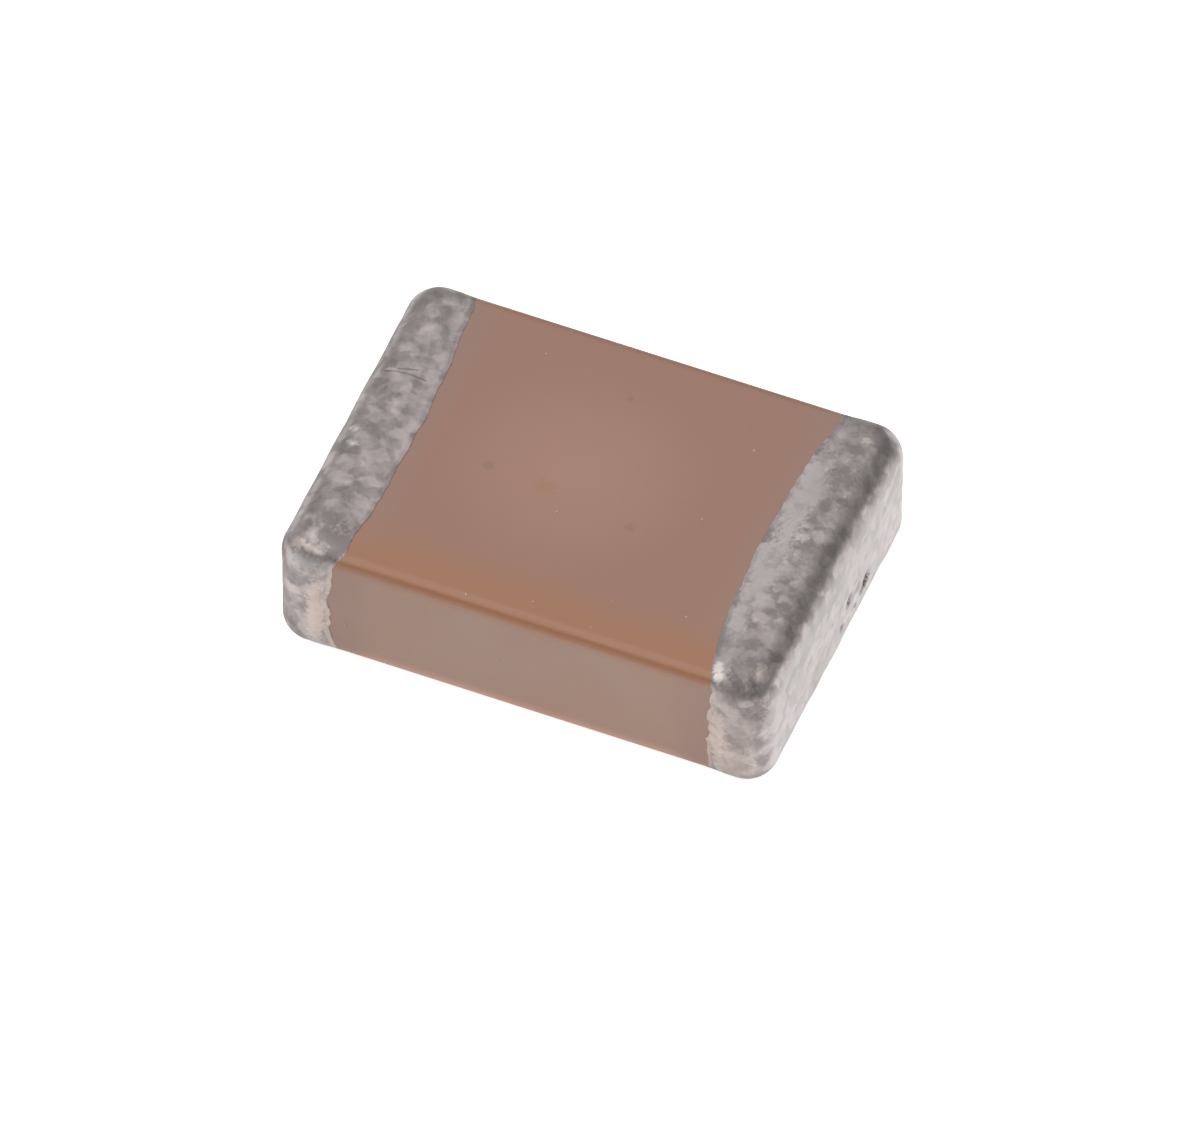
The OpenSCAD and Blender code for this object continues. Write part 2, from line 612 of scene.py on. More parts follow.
def band_reach(points, reach, bow, skew, side_bow, notch):
    """Length of the band along X at places round the end face."""
    y, z = points[:, 1] / CHIP_HALF.y, points[:, 2] / CHIP_HALF.z
    bowed = np.where(np.abs(z) >= np.abs(y), bow * (1 - y**2), side_bow * (1 - z**2))
    away = (points[:, 1:] - NOTCH_PLACE) / NOTCH_WIDTH
    return reach + bowed + skew * y - notch * np.exp(-(away**2).sum(axis=1))


def lattice_faces(columns, rows):
    """Quads of an end face's lattice, facing +X."""
    corner = np.arange((columns + 1) * (rows + 1)).reshape(columns + 1, rows + 1)
    quads = np.stack([corner[:-1, :-1], corner[1:, :-1], corner[1:, 1:], corner[:-1, 1:]], axis=-1)
    return quads.reshape(-1, 4).tolist()


def cap_shell(ceramic, tin, reach, bow, skew, side_bow, notch, seed):
    """Closed shell of the +X cap round the chip's centre.

    It runs from the end face over the band to the rim, then back along the ceramic to the pocket's floor.
    Gives its points and faces, and each point's skin weight and distance from the rim.
    """
    half, body_half = np.array(CHIP_HALF), np.array(BODY_HALF)
    radius = cap_radius(ceramic, tin)
    across = stations(half[1], radius, SKIN_SPACING)
    upward = stations(half[2], radius, SKIN_SPACING)
    y, z = np.meshgrid(across, upward, indexing="ij")
    face = np.stack([np.full_like(y, half[0]), y, z], axis=-1).reshape(-1, 3)
    columns, rows = len(across) - 1, len(upward) - 1
    loop = loop_round(columns, rows) @ [rows + 1, 1]
    edge = face[loop]
    steps = np.linalg.norm(np.roll(edge, -1, axis=0) - edge, axis=1)
    arc, girth = np.cumsum(steps) - steps, steps.sum()
    share_of_face = face_share(edge, radius)
    line = half[0] - band_reach(edge, reach, bow, skew, side_bow, notch)
    rim = line + ragged(arc, girth, seed, RIM_WAVES) * (SIDE_RAGGED + (1 - SIDE_RAGGED) * share_of_face)
    foot = rim + (line - rim) * share_of_face
    feather = tin.side_feather + (tin.face_feather - tin.side_feather) * share_of_face

    def outside(x):
        """The loop at a place along X, on the cap's outer surface."""
        return tumbled(np.column_stack([np.broadcast_to(x, len(edge)), edge[:, 1:]]), half, radius, radius)

    def on_ceramic(x):
        """The loop at a place along X, on the ceramic."""
        shrunk = np.column_stack([np.broadcast_to(x, len(edge)), edge[:, 1:] * body_half[1:] / half[1:]])
        return tumbled(shrunk, body_half, ceramic.corner_radius, ceramic.edge_radius)

    flat = half[0] - radius
    turns = round(radius * HALF_EDGE / SKIN_SPACING)
    rings, depths, weights = [], [np.full(len(face), FAR_FROM_RIM)], [np.ones(len(face))]
    for angle in np.linspace(HALF_EDGE, 0, turns + 1)[1:]:
        x = flat + radius * math.tan(angle)
        rings.append(outside(x))
        depths.append(x - rim)
        weights.append(np.ones(len(edge)))
    ring_count = round((reach + bow - radius) / SKIN_SPACING)
    for share in [*np.arange(1, ring_count) / ring_count, LAST_RING, 1]:
        x = flat + share * (rim - flat)
        rise = np.sin(math.pi / 2 * np.clip((x - foot) / feather, 0, 1)) ** 2
        rise = np.minimum(rise, (x - rim) * RIM_SLOPE / BAND_THICKNESS)
        thick = (RIM_BLUNT + (1 - RIM_BLUNT) * rise)[:, None]
        rings.append(on_ceramic(x) + thick * (outside(x) - on_ceramic(x)))
        depths.append(x - rim)
        weights.append(rise)
    rings.append(on_ceramic(rim))
    pocket_flat = body_half[0] - ceramic.corner_radius
    for angle in np.linspace(0, HALF_EDGE, POCKET_TURNS + 1):
        rings.append(on_ceramic(pocket_flat + ceramic.corner_radius * math.tan(angle)))

    numbers = [loop] + [len(face) + i * len(edge) + np.arange(len(edge)) for i in range(len(rings))]
    faces = lattice_faces(columns, rows)
    for near, far in zip(numbers, numbers[1:]):
        faces += np.column_stack([near, far, np.roll(far, -1), np.roll(near, -1)]).tolist()
    floor = numbers[-1][-1] + 1
    last = numbers[-1]
    faces += np.column_stack([last, np.full(len(last), floor), np.roll(last, -1)]).tolist()
    points = np.concatenate([tumbled(face, half, radius, radius), *rings, [[body_half[0], 0, 0]]])
    inside = np.zeros(len(points) - sum(len(part) for part in weights))
    return points, faces, np.concatenate([*weights, inside]), np.concatenate([*depths, inside])


# Dents and blobs in the tin: place on the chip, half widths along X, Y and Z, and height, all in millimetres
TIN_MARKS = {
    "left": (
        ((-2.08, -0.21, 1.33), (0.045, 0.030, 0.05), 0.012),
        ((-2.03, -0.37, 1.34), (0.045, 0.028, 0.05), 0.010),
        ((-2.06, -1.50, 1.30), (0.050, 0.045, 0.05), 0.005),
        ((-1.95, -1.54, 1.29), (0.055, 0.035, 0.05), 0.006),
        ((-1.84, -1.56, 1.28), (0.045, 0.030, 0.05), 0.004),
        ((-1.87, 0.25, 1.36), (0.060, 0.050, 0.05), -0.005),
        ((-1.90, -0.85, 1.36), (0.090, 0.070, 0.05), -0.004),
    ),
    "right": (
        ((1.77, -1.48, 1.30), (0.045, 0.060, 0.05), 0.012),
        ((2.11, -1.40, 1.31), (0.045, 0.080, 0.06), 0.004),
        ((1.86, 0.20, 1.36), (0.040, 0.030, 0.05), -0.006),
        ((2.00, 0.66, 1.36), (0.060, 0.060, 0.05), -0.004),
        ((2.25, 0.61, 0.42), (0.08, 0.070, 0.065), -0.040),
        ((2.25, 0.51, 0.37), (0.08, 0.060, 0.040), -0.024),
        ((2.25, 0.23, 0.56), (0.08, 0.060, 0.065), -0.034),
        ((2.25, 0.36, 0.46), (0.08, 0.045, 0.040), 0.022),
        ((2.25, 0.06, 0.34), (0.08, 0.050, 0.070), -0.028),
    ),
}


def press_marks(mesh, skin, marks):
    """Pushes the skin of a cap out or in, at each mark, along its normals."""
    count = len(mesh.vertices)
    places, normals = np.empty(count * 3), np.empty(count * 3)
    mesh.vertices.foreach_get("co", places)
    mesh.vertex_normals.foreach_get("vector", normals)
    places, normals = places.reshape(-1, 3), normals.reshape(-1, 3)
    push = np.zeros(count)
    for centre, widths, height in marks:
        away = (places / MM - centre) / widths
        push += height * MM * np.exp(-((away**2).sum(axis=1) ** 2))
    places = np.clip(places + normals * (push * skin)[:, None], CAD_BOX[0], CAD_BOX[1])
    mesh.vertices.foreach_set("co", places.ravel())
    mesh.update()


# Levels of the noise that are a hollow and a lump
WAVE_SPAN = (0.3, 0.7)


def tin_relief_tree():
    """Geometry Nodes: swells, lumps and grain sunk into a cap's skin, with the lumps as an attribute."""
    tree, source, sink = new_group(
        "Tin relief",
        "GeometryNodeTree",
        {
            "Geometry": "Geometry",
            "Swell Size": "Float",
            "Swell Height": "Float",
            "Lump Size": "Float",
            "Lump Height": "Float",
            "Grain Size": "Float",
            "Grain Height": "Float",
            "Seed": "Int",
            "Material": "Material",
        },
        {"Geometry": "Geometry"},
    )
    given = source.outputs
    place = tree.nodes.new("GeometryNodeInputPosition").outputs[0]
    normal = tree.nodes.new("GeometryNodeInputNormal").outputs[0]
    skin = add_node(tree, "GeometryNodeInputNamedAttribute", {"Name": "skin"}, data_type="FLOAT").outputs[0]

    def waves(size, detail):
        """Noise of one wave size over the skin, from 0 in a hollow to 1 on a lump."""
        scale = maths(tree, "DIVIDE", 1.0, size)
        made = add_node(
            tree,
            "ShaderNodeTexNoise",
            {"Vector": place, "W": given["Seed"], "Scale": scale, "Detail": detail},
            noise_dimensions="4D",
        )
        return ramp(tree, made.outputs["Fac"], *WAVE_SPAN)

    swells = waves(given["Swell Size"], 0.0)
    lumps = waves(given["Lump Size"], 1.0)
    grain = waves(given["Grain Size"], 0.0)
    sunk = 0.0
    for mask, name in ((swells, "Swell Height"), (lumps, "Lump Height"), (grain, "Grain Height")):
        low = times(tree, minus(tree, 1.0, mask), given[name])
        sunk = plus(tree, sunk, low)
    sunk = times(tree, sunk, skin)
    kept = add_node(
        tree,
        "GeometryNodeStoreNamedAttribute",
        {"Geometry": given["Geometry"], "Name": "lumps", "Value": lumps},
        data_type="FLOAT",
        domain="POINT",
    ).outputs[0]
    moved = add_node(
        tree,
        "GeometryNodeSetPosition",
        {"Geometry": kept, "Offset": scaled(tree, normal, times(tree, sunk, -1.0))},
    )
    finish_tree(tree, moved.outputs[0], given["Material"], sink)
    return tree


# Settings that the two caps share, and those that each cap has of its own
RELIEF_PARTS = ("swell_size", "swell_height", "lump_size", "lump_height", "grain_size", "grain_height")
BAND_PARTS = ("reach", "bow", "skew", "side_bow", "notch", "seed")


class CAPACITOR_OT_terminations(bpy.types.Operator):
    """Make the dipped tin cap on each end"""

    bl_idname = "capacitor.terminations"
    bl_label = "Terminations"

    def execute(self, context):
        settings = context.scene.chip_capacitor
        tin = settings.tin
        tree = tin_relief_tree()
        material = tin_material(tin)
        for side, way in (("left", -1), ("right", 1)):
            shape = {part: getattr(tin, f"{side}_{part}") for part in BAND_PARTS}
            points, faces, skin, from_rim = cap_shell(settings.ceramic, tin, **shape)
            mesh = bpy.data.meshes.new(f"{side}_tin_cap")
            places = points * [way, 1, 1] + np.array(CHIP_CENTRE)
            mesh.from_pydata(places, [], [face[::way] for face in faces])
            for name, values in (("skin", skin), ("from_rim", from_rim)):
                mesh.attributes.new(name, "FLOAT", "POINT").data.foreach_set("value", values)
            press_marks(mesh, skin, TIN_MARKS[side])
            piece = new_piece(f"{side}_tin_cap", mesh)
            inputs = {"Seed": shape["seed"], "Material": material}
            for part in RELIEF_PARTS:
                inputs[part.replace("_", " ").title()] = getattr(tin, part)
            bake_nodes(piece, tree, inputs)
            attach(piece, "root")
            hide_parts(f"{side}_termination")
        return {"FINISHED"}


# Materials

def mottle_group():
    """Shader group: soft patches of one size, as a mask from 0 to 1."""
    found = bpy.data.node_groups.get("Mottle")
    if found:
        return found
    tree, source, sink = new_group(
        "Mottle",
        "ShaderNodeTree",
        {"Vector": "Vector", "Patch Size": "Float", "Detail": "Float", "Low": "Float", "High": "Float"},
        {"Mask": "Float"},
    )
    given = source.outputs
    noise = add_node(
        tree,
        "ShaderNodeTexNoise",
        {
            "Vector": given["Vector"],
            "Scale": maths(tree, "DIVIDE", 1.0, given["Patch Size"]),
            "Detail": given["Detail"],
        },
    )
    mask = ramp(tree, noise.outputs["Fac"], given["Low"], given["High"])
    tree.links.new(mask, sink.inputs["Mask"])
    return tree


def mottle(tree, vector, patch_size, detail=2.0, low=0.35, high=0.65):
    """Mask of soft patches in a material."""
    inputs = {"Vector": vector, "Patch Size": patch_size, "Detail": detail, "Low": low, "High": high}
    return add_node(tree, "ShaderNodeGroup", inputs, node_tree=mottle_group()).outputs["Mask"]


def new_material(name):
    """A material with nodes, its tree, its shader and the Object coordinates."""
    material = bpy.data.materials.new(name)
    material.use_nodes = True
    tree = material.node_tree
    shader = tree.nodes["Principled BSDF"]
    place = tree.nodes.new("ShaderNodeTexCoord").outputs["Object"]
    return material, tree, shader, place


def bumped(tree, height, distance):
    """Normal of a bump whose height is that share of a distance."""
    return add_node(tree, "ShaderNodeBump", {"Height": height, "Distance": distance}).outputs[0]


def blot_group():
    """Shader group: a blot round a place, as a mask from 0 to 1, whose edge wanders with a noise."""
    found = bpy.data.node_groups.get("Blot")
    if found:
        return found
    tree, source, sink = new_group(
        "Blot",
        "ShaderNodeTree",
        {
            "Vector": "Vector",
            "Wander": "Float",
            "Centre": "Vector",
            "Half Size": "Vector",
            "Raggedness": "Float",
            "Core": "Float",
        },
        {"Mask": "Float"},
    )
    given = source.outputs
    away = vectors(tree, "SUBTRACT", given["Vector"], given["Centre"])
    far = size_of(tree, vectors(tree, "DIVIDE", away, given["Half Size"]))
    wander = times(tree, given["Wander"], given["Raggedness"])
    mask = ramp(tree, plus(tree, far, wander), 1.0, given["Core"])
    tree.links.new(mask, sink.inputs["Mask"])
    return tree


def blot(tree, place, wander, centre, half_size, raggedness=1.0, core=0.5):
    """Mask of a blot in a material, with its place and half size in millimetres."""
    inputs = {
        "Vector": place,
        "Wander": wander,
        "Centre": [part * MM for part in centre],
        "Half Size": [part * MM for part in half_size],
        "Raggedness": raggedness,
        "Core": core,
    }
    return add_node(tree, "ShaderNodeGroup", inputs, node_tree=blot_group()).outputs["Mask"]


def wandering(tree, place, size):
    """Noise of one size about zero, for the edges of blots."""
    made = add_node(tree, "ShaderNodeTexNoise", {"Vector": place, "Scale": 1 / size, "Detail": 2.0})
    return minus(tree, made.outputs["Fac"], 0.5)


def tinted(tree, paint, mask, strength, rgb):
    """A colour laid over the paint where a mask is set."""
    return mixed(tree, times(tree, mask, strength), paint, opaque(rgb))


# Faint dark spots on the top face, and an orange smudge: place on the chip and half size, in millimetres
DARK_SPOTS = (
    ((-0.89, -0.13, 1.29), (0.06, 0.06, 0.06)),
    ((0.46, -0.30, 1.29), (0.06, 0.06, 0.06)),
    ((-0.06, 1.00, 1.29), (0.04, 0.04, 0.04)),
)
SPOT_STRENGTH = 0.25
SMUDGE = ((-0.36, -0.17, 1.29), (0.13, 0.11, 0.1))
SMUDGE_STRENGTH = 0.4
# Painted reflection: a paler sheen in the middle of the top face, whose edge is soft and even
PAINTED_SHEEN = ((-0.2, 0.1, 1.29), (1.45, 1.35, 1.0), 0.0, 0.0)
PAINTED_SHEEN_STRENGTH = 0.42
# Tints by place: the measure, where the tint starts and is full, its strength and its colour.
# They are painted light and shade: a warm line and a darker one at the back edge, painted shade; the front
# and back, a painted reflection; the foot, a painted reflection; and beside the rims, painted shade.
CERAMIC_PAINTED_LIGHT = (
    # Painted shade: a warm line and a darker one along the back edge
    ("to back", BODY_HALF.y - 0.15 * MM, BODY_HALF.y - 0.05 * MM, 0.45, "edge_shade_and_smudge_colour"),
    ("to back", BODY_HALF.y - 0.12 * MM, BODY_HALF.y - 0.06 * MM, 0.28, "spot_and_shade_colour"),
    # Painted reflection: the front and back are greyer
    ("across", BODY_HALF.y - 0.05 * MM, BODY_HALF.y - 0.01 * MM, 1.0, "front_reflection_colour"),
    # Painted reflection of the floor along the foot
    ("up", BODY_BOX[0].z + 0.18 * MM, BODY_BOX[0].z + 0.06 * MM, 0.9, "foot_reflection_colour"),
    # Painted shade beside the rims
    ("along", 1.25 * MM, 1.6 * MM, 0.75, "rim_shade_colour"),
)
# Painted shade: the warm colour along the front edge stands in for the weaker reflection there
# The warm colour fades this many times faster down the front than over the top
FRONT_FADE = 3.5
# It is weaker at the left rim: where along X, and its shares there
WARM_ALONG = (-1.8 * MM, -0.9 * MM, 0.7, 1.0)
# How much the clouds add to it
CLOUD_WARMTH = 0.12
# Soft patches of the ceramic: size, detail, and for the grain the noise levels that give 0 and 1
CERAMIC_CLOUDS = (0.8 * MM, 3.0)
CERAMIC_GRAIN = (0.012 * MM, 1.0, 0.2, 0.8)
CERAMIC_WANDER = 0.05 * MM
GRAIN_SHADES = (0.98, 1.02)
CERAMIC_BUMP = 0.2 * MICRON
CERAMIC_ROUGHNESS_SPREAD = 0.03
CERAMIC_IOR = 2.0


def ceramic_material(look):
    """Fired brown ceramic: warm along the front edge, which is painted shade, faintly clouded, with fine
    grain and a soft gloss; painted reflections make the middle of the top paler, the front and back greyer
    and the foot paler, and painted shade greys it beside the rims.
    """
    material, tree, shader, place = new_material("Fired ceramic")
    axes = split(tree, place)
    inward = minus(tree, axes["Y"], BODY_BOX[0].y)
    # Painted shade: warmer and darker towards the front edge and down its rounding
    down = times(tree, minus(tree, BODY_BOX[1].z, axes["Z"]), FRONT_FADE)
    from_edge = size_of(tree, combined(tree, inward, down, 0.0))
    warm = ramp(tree, from_edge, look.warm_reach, 0.0)
    warm = times(tree, warm, ramp(tree, axes["X"], *WARM_ALONG))
    cloud = mottle(tree, place, *CERAMIC_CLOUDS)
    wander = wandering(tree, place, CERAMIC_WANDER)
    warm = plus(tree, warm, times(tree, cloud, CLOUD_WARMTH), clamp=True)
    # Painted reflection: paler in the middle of the top
    sheen = blot(tree, place, wander, *PAINTED_SHEEN)
    paint = tinted(tree, opaque(look.face_colour), sheen, PAINTED_SHEEN_STRENGTH, look.sheen_colour)
    measures = {
        "to back": axes["Y"],
        "across": maths(tree, "ABSOLUTE", axes["Y"]),
        "up": axes["Z"],
        "along": maths(tree, "ABSOLUTE", axes["X"]),
    }
    for measure, start, full, strength, name in CERAMIC_PAINTED_LIGHT:
        mask = ramp(tree, measures[measure], start, full)
        paint = tinted(tree, paint, mask, strength, getattr(look, name))
    paint = mixed(tree, warm, paint, opaque(look.edge_shade_and_smudge_colour))
    paint = tinted(tree, paint, blot(tree, place, wander, *SMUDGE), SMUDGE_STRENGTH, look.edge_shade_and_smudge_colour)
    for spot in DARK_SPOTS:
        paint = tinted(tree, paint, blot(tree, place, wander, *spot), SPOT_STRENGTH, look.spot_and_shade_colour)
    grain = mottle(tree, place, *CERAMIC_GRAIN)
    shade = ramp(tree, grain, 0.0, 1.0, *GRAIN_SHADES)
    paint = mixed(tree, 1.0, paint, combined(tree, shade, shade, shade), "MULTIPLY")
    tree.links.new(paint, shader.inputs["Base Color"])
    smoothest, roughest = look.roughness - CERAMIC_ROUGHNESS_SPREAD, look.roughness + CERAMIC_ROUGHNESS_SPREAD
    tree.links.new(ramp(tree, cloud, 0.0, 1.0, smoothest, roughest), shader.inputs["Roughness"])
    tree.links.new(bumped(tree, grain, CERAMIC_BUMP), shader.inputs["Normal"])
    shader.inputs["IOR"].default_value = CERAMIC_IOR
    return material


# Dust: size of its clouds, how dull its darker parts are, and its roughness
DUST_CLOUDS = 0.008 * MM
DUST_DULL = 0.8
DUST_ROUGHNESS = 0.8


def dust_material(look):
    """Pale matte dust."""
    material, tree, shader, place = new_material("Pale dust")
    cloud = mottle(tree, place, DUST_CLOUDS)
    dull = [part * DUST_DULL for part in look.speck_colour]
    tree.links.new(mixed(tree, cloud, opaque(dull), opaque(look.speck_colour)), shader.inputs["Base Color"])
    shader.inputs["Roughness"].default_value = DUST_ROUGHNESS
    return material


# Blots in the tin: place on the chip and half size, in millimetres, and strength
CREAM_BLOTS = (
    ((-2.05, -1.51, 1.29), (0.10, 0.065, 0.07), 0.6),
    ((-1.92, -1.54, 1.29), (0.10, 0.055, 0.06), 0.6),
    ((-1.84, -1.64, 0.60), (0.11, 0.08, 0.55), 0.7),
    ((-2.06, -1.60, 0.80), (0.12, 0.12, 0.08), 0.6),
    ((2.11, -1.36, 1.31), (0.08, 0.11, 0.09), 0.7),
    ((1.77, -1.64, 0.66), (0.12, 0.08, 0.45), 0.7),
    ((1.93, -1.66, 0.70), (0.40, 0.14, 0.90), 0.2),
    ((1.94, -1.66, 0.36), (0.28, 0.14, 0.30), 0.3),
    # Painted highlight along the scratches
    ((-2.03, 0.49, 1.34), (0.09, 0.025, 0.06), 0.6),
    ((1.96, 1.28, 1.34), (0.05, 0.05, 0.05), 0.6),
)
PALE_BLOTS = (
    ((-1.98, -1.60, 1.18), (0.24, 0.07, 0.09), 0.6),
    ((-2.08, -0.21, 1.33), (0.07, 0.045, 0.08), 0.6),
    ((-2.03, -0.37, 1.34), (0.07, 0.045, 0.08), 0.6),
    ((1.71, 0.55, 1.34), (0.16, 0.85, 0.30), 0.3),
    ((1.71, -0.35, 1.34), (0.16, 0.85, 0.30), 0.3),
    ((1.86, 0.10, 1.36), (0.08, 0.06, 0.06), 0.6),
    ((1.77, 0.88, 1.36), (0.03, 0.03, 0.04), 0.6),
    ((2.02, 0.66, 1.36), (0.025, 0.025, 0.04), 0.6),
)
# Painted glint on the lifted sliver at the right rim's front corner
PAINTED_GLINTS = (
    ((1.725, -1.43, 1.31), (0.055, 0.085, 0.09), 0.7),
    ((1.765, -1.51, 1.28), (0.055, 0.085, 0.09), 0.7),
)
DARK_MARKS_AND_SHADE = (
    ((-1.87, 0.25, 1.36), (0.06, 0.05, 0.05), 0.35),
    ((-1.75, 0.33, 1.36), (0.09, 0.025, 0.05), 0.35),
    # Painted shade on the left band's front upper edge
    ((-1.72, -1.52, 1.28), (0.12, 0.07, 0.10), 0.25),
    ((1.86, 0.20, 1.36), (0.05, 0.03, 0.05), 0.35),
    # Painted shade down the front right corner, these three
    ((1.97, -1.49, 1.29), (0.19, 0.15, 0.11), 0.42),
    ((2.13, -1.58, 1.08), (0.21, 0.17, 0.20), 0.60),
    ((2.16, -1.54, 0.74), (0.16, 0.16, 0.24), 0.16),
    ((2.25, -0.44, 0.39), (0.10, 0.32, 0.22), 0.16),
)
# Layers of blots over the tin, the lowest first: colour, raggedness of the edges, core and blots
BLOT_LAYERS = (
    ("cream_and_highlight_colour", 1.6, 0.5, CREAM_BLOTS),
    ("pale_and_end_light_colour", 1.6, 0.5, PALE_BLOTS),
    ("glint_colour", 1.0, 0.5, PAINTED_GLINTS),
    ("pit_and_shade_colour", 1.0, 0.2, DARK_MARKS_AND_SHADE),
)
# Broad patches of the tin, with how much duller they are, or cleaner below zero; the two strong ones on the
# front upper edges are painted shade.
# Their edges come after them, as raggedness and core.
DULL_AND_SHADED_BLOTS = (
    ((1.98, 1.15, 1.34), (0.40, 0.60, 0.30), 0.32),
    ((1.98, -1.64, 0.70), (0.30, 0.20, 0.80), 0.12),
    ((1.95, 0.65, 1.34), (0.14, 0.65, 0.30), 0.40),
    ((1.93, -0.55, 1.34), (0.14, 0.45, 0.30), 0.28),
    ((1.73, 0.55, 1.34), (0.17, 0.85, 0.30), -0.20),
    ((1.73, -0.35, 1.34), (0.17, 0.85, 0.30), -0.20),
    # Painted shade on the right band's front upper edge
    ((1.97, -1.43, 1.33), (0.17, 0.18, 0.12), 0.80),
    ((-1.95, -1.20, 1.34), (0.35, 0.45, 0.30), 0.10),
    # Painted shade on the left band's front upper edge
    ((-1.74, -1.40, 1.33), (0.20, 0.26, 0.15), 0.85),
    ((-1.66, 1.45, 1.34), (0.16, 0.22, 0.15), 0.50),
)
DULL_EDGES = (1.0, 0.3)
# Pits in the right end face, then the raggedness and core of their edges, and how much rougher they are
END_PITS = (
    ((2.23, 0.60, 0.42), (0.12, 0.110, 0.095), 0.86),
    ((2.24, 0.51, 0.37), (0.12, 0.075, 0.045), 0.72),
    ((2.23, 0.22, 0.57), (0.12, 0.085, 0.090), 0.84),
    ((2.24, 0.38, 0.53), (0.12, 0.120, 0.090), 0.25),
    ((2.23, 0.35, 0.36), (0.12, 0.035, 0.035), 0.50),
    ((2.24, 0.46, 0.22), (0.12, 0.035, 0.035), 0.40),
    ((2.23, 0.08, 0.35), (0.12, 0.055, 0.065), 0.45),
    ((2.24, 0.05, 0.18), (0.12, 0.035, 0.055), 0.40),
)
PIT_EDGES = (1.1, 0.25)
PIT_ROUGHNESS = 0.5
# Pale flakes beside the pits, which lie over them as one more layer
PIT_FLAKES = (
    ((2.25, 0.36, 0.46), (0.12, 0.070, 0.060), 0.6),
    ((2.25, 0.17, 0.40), (0.12, 0.090, 0.050), 0.6),
)
FLAKE_LAYER = ("pale_and_end_light_colour", 1.6, 0.5, PIT_FLAKES)
# Scratches in the left band: both ends on the top, in millimetres
SCRATCHES = (((-2.08, 0.47), (-1.73, 0.50)), ((-1.98, 0.51), (-1.83, 0.56)))
SCRATCH_WIDTH = 16 * MICRON
SCRATCH_CORE = 0.3 * SCRATCH_WIDTH
SCRATCH_STRENGTH = 0.4
# Heights between which the sides of a band give way to its top
BAND_TOP_SPAN = (1.2 * MM, 1.25 * MM)


def scratch_mask(tree, place, ends):
    """Mask of a straight scratch on the top of a band."""
    start, end = (Vector((x * MM, y * MM, CAD_BOX[1].z)) for x, y in ends)
    along = end - start
    away = vectors(tree, "SUBTRACT", place, start)
    reach = add_node(
        tree, "ShaderNodeVectorMath", {0: away, 1: along / along.length_squared}, operation="DOT_PRODUCT"
    ).outputs["Value"]
    reach = add_node(tree, "ShaderNodeClamp", {"Value": reach}).outputs[0]
    aside = vectors(tree, "SUBTRACT", away, scaled(tree, tuple(along), reach))
    aside = vectors(tree, "MULTIPLY", aside, (1.0, 1.0, 0.0))
    above = ramp(tree, split(tree, place)["Z"], *BAND_TOP_SPAN)
    return times(tree, ramp(tree, size_of(tree, aside), SCRATCH_WIDTH, SCRATCH_CORE), above)


# Plates of the tin: their width, how softly they meet, how far their borders are bent and over what width
PLATE_SIZE = 0.10 * MM
PLATE_SMOOTHNESS = 0.58
PLATE_BEND = 0.10 * MM
BEND_SIZE = 0.09 * MM
# Soft patches of the tin: size, detail, and the noise levels that give 0 and 1
TIN_CLOUDS = (0.2 * MM, 1.0, 0.4, 0.6)
TIN_FLECKS = (0.045 * MM, 1.0, 0.4, 0.6)
TIN_GRAIN = (0.014 * MM, 1.0, 0.25, 0.75)
TIN_WANDER = 0.03 * MM
TIN_BUMP = 0.15 * MICRON
TIN_ROUGHNESS_SPREAD = 0.05
# How much each mask makes the tin cleaner, and what is taken off their sum
CLEAN_AND_SHADE_SHARES = {
    # Painted shade: darker along the rounding of the right end edge
    "right edge": -0.08,
    "beside rim": 0.25,
    # The lumps' share is painted shade in the hollows between the lumps, lighter on their tops
    "lumps": 0.25,
    "plates": 0.9,
    "clouds": 0.25,
    "flecks": 0.16,
    "grain": 0.05,
}
CLEAN_LOSS = 0.28
# Where a mask starts and is full: out from the middle to the right edge, the sides and the ends
# The right edge's span is that of the painted shade
RIGHT_EDGE_SHADE_SPAN = (1.85 * MM, 2.12 * MM)
SIDE_SPAN = (1.54 * MM, 1.6 * MM)
END_SPAN = (2.20 * MM, 2.24 * MM)
# The same for masks by the distance from the rim: cleaner tin, darker tin just short of the rim, and the
# cream line on the sides, a painted highlight
BESIDE_RIM_SPAN = (0.30 * MM, 0.08 * MM)
NEAR_RIM_SPAN = (0.06 * MM, 0.02 * MM)
NEAR_RIM_DARKENING = 0.4
RIM_HIGHLIGHT_SPAN = (0.05 * MM, 0.02 * MM)
RIM_HIGHLIGHT_STRENGTH = 0.7
# End faces: streaks drawn out along the width, shares of streaks and plates, change with height, which is
# painted light brighter towards the bottom, and pale tint, which is painted light
STREAK_DRAW = (1.0, 0.15, 1.0)
STREAKS = (0.035 * MM, 2.0)
STREAK_SHARE = 0.22
END_PLATE_SHARE = 0.5
END_LIGHT_FADE = (0.3 * MM, 1.2 * MM, 0.36, -0.26)
END_PAINTED_LIGHT = 0.3


def tin_plates(tree, place):
    """Level from 0 to 1 of the plates that the tin grew in, with soft, bent borders."""
    bend = add_node(tree, "ShaderNodeTexNoise", {"Vector": place, "Scale": 1 / BEND_SIZE, "Detail": 1.0})
    bend = vectors(tree, "SUBTRACT", bend.outputs["Color"], (0.5, 0.5, 0.5))
    bent = vectors(tree, "ADD", place, scaled(tree, bend, PLATE_BEND))
    plates = add_node(
        tree,
        "ShaderNodeTexVoronoi",
        {"Vector": bent, "Scale": 1 / PLATE_SIZE, "Smoothness": PLATE_SMOOTHNESS},
        feature="SMOOTH_F1",
    )
    return split(tree, plates.outputs["Color"])["X"]


